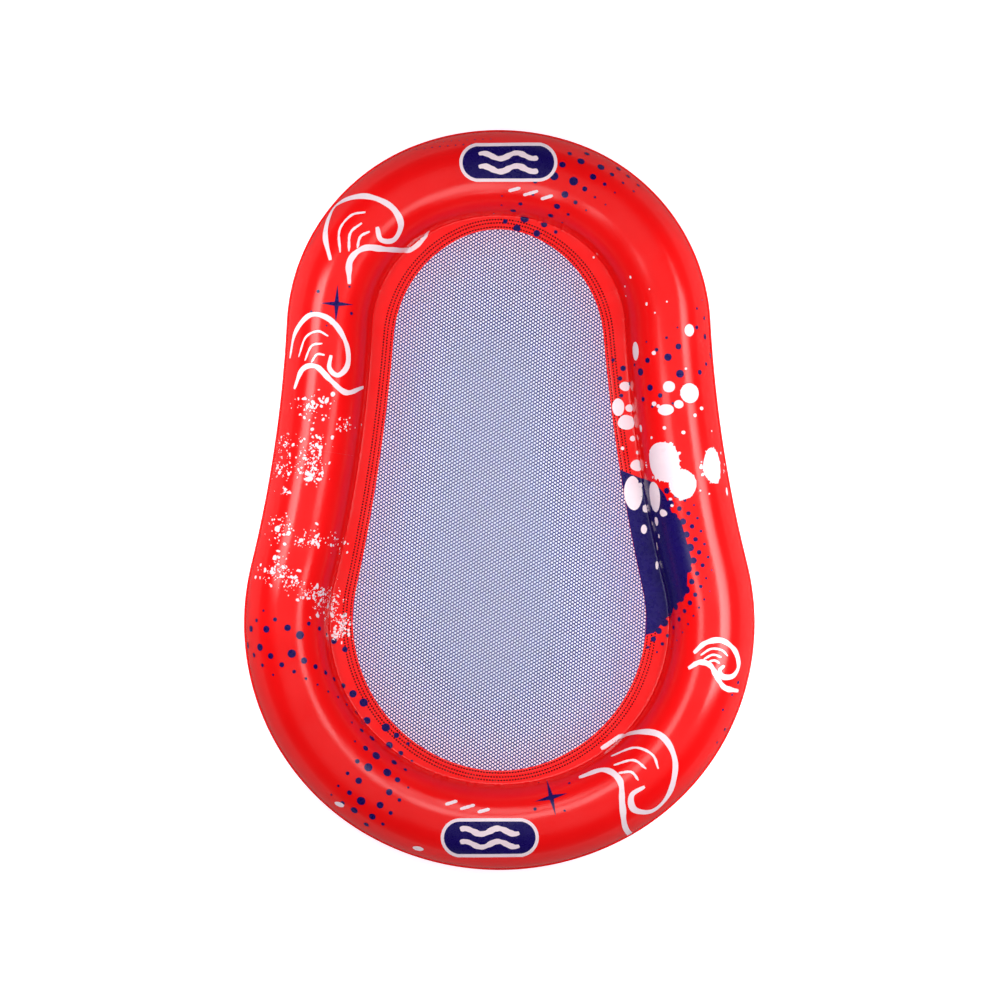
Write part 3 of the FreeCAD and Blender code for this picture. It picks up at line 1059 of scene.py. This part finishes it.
    def badges(self) -> None:
        """Print a plain round-ended plate with two waves, and three short dashes, at each end."""
        middle, straight = np.array(self.plate_middle), self.plate_half_length - self.plate_radius
        bend = np.linspace(-np.pi / 2, np.pi / 2, 24)
        share = np.linspace(0, 1, 40)
        for turn in (1, -1):
            for layer, inset in ((self.pale, 0), (self.badge_field, self.plate_border)):
                reach = self.plate_radius - inset
                cap = np.stack([straight + reach * np.cos(bend), reach * np.sin(bend)], axis=1)
                loop = np.concatenate([cap, -cap, cap[:1]])
                layer.area((middle + smooth_line(loop, 4.0)[:-1]) * turn * MM)
            for height in self.plate_waves:
                run = (share - 0.5) * 2 * straight
                crest = middle + np.stack([run, height + 6 * np.sin(run / 11.5)], axis=1)
                self.badge_marks.stroke([tuple(p) for p in crest * turn], self.plate_line, 0.06)
            for near, far in self.dashes:
                line = np.array([near, ((near[0] + far[0]) / 2, (near[1] + far[1]) / 2), far], float)
                self.pale.stroke([tuple(p) for p in line * turn], self.dash_line, 0.1)

    def dress(self) -> None:
        """Print everything and make one piece of each layer."""
        self.dots()
        self.patch()
        self.splash()
        self.stars()
        self.waves()
        self.badges()
        for layer in (self.navy, self.pale, self.badge_field, self.badge_marks):
            layer.dress()


# ---------------------------------------------------------------- mesh seat


@dataclass
class SeatNet:
    """The knitted seat: rows of six-sided holes between yarns, held taut between the sheets."""

    shape: RingShape
    column_pitch: float = 0.00564
    row_pitch: float = 0.007685
    corner_x: float = 0.001545
    corner_reach: float = 0.004095
    hole_x: float = 0.00114
    hole_y: float = 0.00230
    hole_reach: float = 0.00253
    crest: float = 0.00065
    trough: float = -0.00055
    lean: float = -4.35
    skew: float = -0.030
    under_flange: float = 0.008
    sag: float = 0.004
    sag_over: float = 0.30
    lattice_reach: Point = (0.45, 0.7)
    same_point: float = 1e-5
    flat: Point = (0.650, 1.186)
    area: float = 0.593

    def build(self) -> bpy.types.Object:
        """Build the knit as one sheet of open cells.

        Returns:
            The net, with its knots in the first material slot and its slants in the second.
        """
        shape = self.shape
        half_columns = int(self.lattice_reach[0] / self.column_pitch)
        half_rows = int(self.lattice_reach[1] / self.row_pitch)
        i, j = np.meshgrid(np.arange(-half_columns, half_columns + 1), np.arange(-half_rows, half_rows + 1))
        i, j = i.ravel(), j.ravel()
        cx, cy = i * self.column_pitch, (j + 0.5 * (i % 2)) * self.row_pitch
        tilt = math.radians(self.lean)
        spin = np.array([(math.cos(tilt), math.sin(tilt)), (-math.sin(tilt), math.cos(tilt))])
        lay = np.array([(1, self.skew), (0, 1)]) @ spin
        _, past = shape.window.locate(*(np.stack([cx, cy], axis=1) @ lay).T)
        keep = past > -self.under_flange
        cx, cy = cx[keep], cy[keep]

        half_row = self.row_pitch / 2
        corners = np.array([(self.corner_reach, 0), (self.corner_x, half_row), (-self.corner_x, half_row),
                            (-self.corner_reach, 0), (-self.corner_x, -half_row), (self.corner_x, -half_row)])
        hole = np.array([(self.hole_reach, 0), (self.hole_x, self.hole_y), (-self.hole_x, self.hole_y),
                         (-self.hole_reach, 0), (-self.hole_x, -self.hole_y), (self.hole_x, -self.hole_y)])
        centres = np.stack([cx, cy], axis=1)[:, None, :]
        crest, rim = (centres + corners).reshape(-1, 2), (centres + hole).reshape(-1, 2)
        places = np.round(crest / self.same_point).astype(np.int64)
        keys, numbers = np.unique(places, axis=0, return_inverse=True)
        numbers = numbers.reshape(-1, 6)
        crest = keys * self.same_point
        flat = np.concatenate([crest, rim])
        height = np.concatenate([np.full(len(crest), self.crest), np.full(len(rim), self.trough)])
        x, y = (flat @ lay).T
        _, past = shape.window.locate(x, y)
        drop = self.sag * np.sin(np.clip(past / self.sag_over, 0, 1) * np.pi / 2) ** 1.5
        points = np.stack([x, y, shape.mid_z + height - drop], axis=1)

        inner = len(crest) + np.arange(len(centres) * 6).reshape(-1, 6)
        after = np.roll(np.arange(6), -1)
        faces = np.stack([numbers, numbers[:, after], inner[:, after], inner], axis=-1).reshape(-1, 4)
        net = mesh_piece("seat_net", points, faces)
        slants = np.tile([1, 0, 1, 1, 0, 1], len(centres))
        net.data.materials.append(KNOT_YARN.make())
        net.data.materials.append(SLANT_YARN.make())
        net.data.polygons.foreach_set("material_index", slants.astype(np.int32))
        return net

    def dress(self) -> None:
        """Build the net and hold it between the sheets."""
        net = self.build()
        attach(net, "ring")
        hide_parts("mesh_panel")
        LOG.info("%s: %d faces, rides on ring, %.3f square metres flat", net.name, len(net.data.polygons),
                 len(net.data.polygons) / 6 * self.column_pitch * self.row_pitch)


# ---------------------------------------------------------------- valves


@dataclass
class ValveSeat:
    """Where a valve sits on the tube, and its own upright frame."""

    shape: RingShape
    end: End
    head_bend: float = 0.477
    foot_bend: float = 0.55
    bend_share: float = 0.7071

    def __post_init__(self) -> None:
        """Work out the valve's frame: z = 0 is the tube's surface, +Z out, the strap along -Y."""
        shape, way = self.shape, self.end.value
        out = math.sqrt(0.5)
        self.origin = np.array([0.0, way * (shape.length / 2 - shape.tube_inset + shape.tube_r * out),
                                shape.mid_z - shape.tube_r * out])
        self.axes = np.array([(way, 0.0, 0.0), (0.0, -way * out, -out), (0.0, way * out, -out)])

    def to_local(self, points: np.ndarray) -> np.ndarray:
        """Give points in the valve's frame."""
        return (points - self.origin) @ self.axes.T

    def to_world(self, points: np.ndarray) -> np.ndarray:
        """Give points in the ring's frame."""
        return points @ self.axes + self.origin

    def skin_height(self, x: np.ndarray, y: np.ndarray) -> np.ndarray:
        """Give the height of the tube's surface beside the valve's middle."""
        bend = self.head_bend if self.end is End.HEAD else self.foot_bend
        tube_drop = np.sqrt(self.shape.tube_r ** 2 - y ** 2) - self.shape.tube_r
        return tube_drop - self.bend_share * x ** 2 / (2 * bend)


@dataclass
class Valve:
    """One inflation valve: a collar, a soft neck, and the moulded parts kept from the frame."""

    seat: ValveSeat
    corners: int = 64
    neck_r: float = 0.00855
    neck_wall: float = 0.0007
    neck_low: float = -0.0176
    neck_top: float = 0.0009

    @property
    def prefix(self) -> str:
        """Give the start of this valve's piece names."""
        return "head_valve_" if self.seat.end is End.HEAD else "foot_valve_"

    @property
    def joint_side(self) -> str:
        """Give the start of this valve's body names."""
        return "head_" if self.seat.end is End.HEAD else "foot_"

    def lathe(self, name: str, profile: list[Point], hug: bool = False) -> bpy.types.Object:
        """Turn a closed profile about the valve's axis.

        Args:
            name: The piece's name.
            profile: Radius and height pairs, in millimetres.
            hug: Whether heights are measured from the tube's curved surface.

        Returns:
            The piece.
        """
        around = np.linspace(0, 2 * np.pi, self.corners, endpoint=False)
        r, z = (np.array(column) * MM for column in zip(*profile, profile[0]))
        x, y = np.cos(around)[:, None] * r, np.sin(around)[:, None] * r
        height = np.broadcast_to(z, x.shape)
        if hug:
            height = height + self.seat.skin_height(x, y)
        local = np.stack([x, y, height], axis=-1)[:, :-1]
        rows = len(profile)
        i, j = np.meshgrid(np.arange(self.corners), np.arange(rows), indexing="ij")
        nxt, up = (i + 1) % self.corners, (j + 1) % rows
        faces = np.stack([i * rows + j, nxt * rows + j, nxt * rows + up, i * rows + up], axis=-1)
        return mesh_piece(name, self.seat.to_world(local.reshape(-1, 3)), faces.reshape(-1, 4))

    def collar(self) -> bpy.types.Object:
        """Build the welded collar, with two weld rings pressed into it.

        Returns:
            The collar.
        """
        profile = [(8.62, 0.06), (16.0, 0.06), (16.05, 0.3), (15.8, 0.6), (15.3, 0.82), (14.6, 0.85),
                   (14.3, 0.62), (13.7, 0.62), (13.4, 0.85), (12.4, 0.85), (12.1, 0.62), (11.5, 0.62),
                   (11.2, 0.85), (9.8, 0.85), (9.2, 0.98), (8.8, 0.95), (8.62, 0.75)]
        return self.lathe(self.prefix + "soft_collar", profile, hug=True)

    def neck(self) -> bpy.types.Object:
        """Build the thin pleated sleeve of the valve.

        Returns:
            The neck.
        """
        low, top, outer = self.neck_low / MM, self.neck_top / MM, self.neck_r / MM
        wall = self.neck_wall / MM
        heights = np.linspace(low, top, 26)
        pleat = 0.12 * np.sin(np.linspace(0, 6 * np.pi, 26)) * np.sin(np.linspace(0, np.pi, 26))
        outside = [(outer - 0.12 + p, h) for p, h in zip(pleat, heights)]
        inside_face = [(outer - wall + p, h) for p, h in zip(pleat[::-1], heights[::-1])]
        return self.lathe(self.prefix + "soft_neck", outside + inside_face)

    def dress(self) -> None:
        """Build the soft pieces, and give the moulded ones their finish."""
        collar = settle(self.collar(), VALVE_VINYL, "ring", (self.prefix + "collar",))
        collar.data.polygons.foreach_set("use_smooth", np.ones(len(collar.data.polygons), bool))
        neck = self.neck()
        neck.data.materials.append(VALVE_VINYL.make())
        start, end = self.seat.to_world(np.array([(0, 0, -0.0004), (0, 0, self.neck_low + 0.0006)]))
        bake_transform(neck)
        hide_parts(self.prefix + "neck")
        for part, finish in (("stem", VALVE_VINYL), ("strap", STOPPER_VINYL), ("stopper", STOPPER_VINYL),
                             ("flap", VALVE_VINYL)):
            repaint(self.prefix + part, finish)


def repaint(node: str, finish: Finish) -> None:
    """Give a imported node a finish.

    Args:
        node: The node's name.
        finish: The finish.
    """
    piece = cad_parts[node]
    piece.data.materials.clear()
    piece.data.materials.append(finish.make())
    LOG.info("%s: kept from the frame, %s", node, finish.name)


# ---------------------------------------------------------------- studio


@dataclass
class Studio:
    """A plain pale floor, soft lights and a camera straight above."""

    camera_height: float = 6.0
    view_width: float = 2.162
    seam_height: float = 0.0896
    roll: float = -0.15
    aside: float = 0.002
    floor_half: float = 30.0
    floor_gap: float = 0.0002
    sensor: float = 36

    def floor(self) -> None:
        """Lay a large plain pale floor that glows softly, so that it stays bright to its edges."""
        half = self.floor_half
        points = np.array([(-half, -half, 0), (half, -half, 0), (half, half, 0), (-half, half, 0)], float)
        piece = mesh_piece("studio_floor", points - (0, 0, self.floor_gap), [(0, 1, 2, 3)], smooth=False)
        material = bpy.data.materials.new("floor_paint")
        material.use_nodes = True
        shader = material.node_tree.nodes["Principled BSDF"]
        shader.inputs["Base Color"].default_value = (0.92, 0.92, 0.92, 1)
        shader.inputs["Roughness"].default_value = 0.9
        shader.inputs["Specular IOR Level"].default_value = 0.0
        shader.inputs["Emission Color"].default_value = (0.82, 0.88, 1.0, 1)
        shader.inputs["Emission Strength"].default_value = 0.66
        piece.data.materials.append(material)
        piece.visible_glossy = False

    def softbox(self, name: str, place: tuple[float, float, float], size: Point, radiance: float,
                turn: float = 0.0, spread: float = 180.0, mirrored: bool = True) -> None:
        """Hang one soft rectangular light that faces down.

        Args:
            name: The light's name.
            place: Where it hangs.
            size: Its width and its length.
            radiance: How bright its face is.
            turn: How far it is turned, in degrees, seen from above.
            spread: How widely it shines, in degrees.
            mirrored: Whether glossy surfaces show it.
        """
        lamp = bpy.data.lights.new(name, "AREA")
        lamp.shape = "RECTANGLE"
        lamp.size, lamp.size_y = size
        lamp.energy = radiance * math.pi * size[0] * size[1]
        lamp.spread = math.radians(spread)
        piece = bpy.data.objects.new(name, lamp)
        piece.location = place
        piece.rotation_euler = (0, 0, math.radians(turn))
        piece.visible_camera = False
        piece.visible_glossy = mirrored
        bpy.context.scene.collection.objects.link(piece)

    def lights(self) -> None:
        """Hang a long softbox each side, a strip overhead and a broad fill, in a dim room."""
        self.softbox("left_softbox", (-0.96, 0.28, 0.82), (0.46, 0.85), 4.2, -11, 120)
        self.softbox("right_softbox", (1.05, 0.06, 0.82), (0.50, 1.35), 4.8, -11, 120)
        self.softbox("overhead_strip", (0.03, 0.10, 0.80), (0.24, 0.48), 2.6, -20)
        self.softbox("foot_softbox", (0.03, -0.33, 0.80), (0.22, 0.20), 3.6)
        self.softbox("broad_fill", (0.0, 0.0, 3.2), (4.5, 4.5), 1.85, mirrored=False)
        world = bpy.data.worlds.new("studio_room")
        bpy.context.scene.world = world
        world.use_nodes = True
        nodes, links = world.node_tree.nodes, world.node_tree.links
        place = nodes.new("ShaderNodeTexCoord")
        split = nodes.new("ShaderNodeSeparateXYZ")
        links.new(place.outputs["Generated"], split.inputs["Vector"])
        raised = nodes.new("ShaderNodeMapRange")
        raised.inputs["From Min"].default_value = -1
        links.new(split.outputs["Z"], raised.inputs["Value"])
        ramp = nodes.new("ShaderNodeValToRGB")
        stops = ((0.0, 0.16), (0.49, 0.25), (0.51, 0.60), (0.56, 0.10), (0.75, 0.02))
        for index, (spot, shade) in enumerate(stops):
            stop = ramp.color_ramp.elements[index] if index < 2 else ramp.color_ramp.elements.new(spot)
            stop.position, stop.color = spot, (shade, shade, shade, 1)
        links.new(raised.outputs["Result"], ramp.inputs["Fac"])
        links.new(ramp.outputs["Color"], nodes["Background"].inputs["Color"])
        bpy.context.scene.view_settings.view_transform = "Standard"

    def camera(self) -> None:
        """Put the camera straight above the ring."""
        lens = bpy.data.cameras.new("overhead_camera")
        lens.sensor_width = self.sensor
        lens.lens = self.sensor * (self.camera_height - self.seam_height) / self.view_width
        lens.clip_end = 100
        piece = bpy.data.objects.new("overhead_camera", lens)
        piece.location = (self.aside, 0, self.camera_height)
        piece.rotation_euler = (0, 0, math.radians(self.roll))
        bpy.context.scene.collection.objects.link(piece)
        bpy.context.scene.camera = piece

    def dress(self) -> None:
        """Set up the whole studio."""
        self.camera()
        self.floor()
        self.lights()


def main() -> None:
    """Build every sub-assembly in order."""
    logging.basicConfig(level=logging.INFO, format="%(name)s %(message)s")
    Studio().dress()
    shape = RingShape()
    Skins(shape).dress()
    WeldDots(shape).dress()
    SeatNet(shape).dress()
    Artwork(shape).dress()
    for side in ("left_divider", "right_divider"):
        repaint(side, WALL_VINYL)
    for end in End:
        Valve(ValveSeat(shape, end)).dress()


if __name__ == "__main__":
    main()
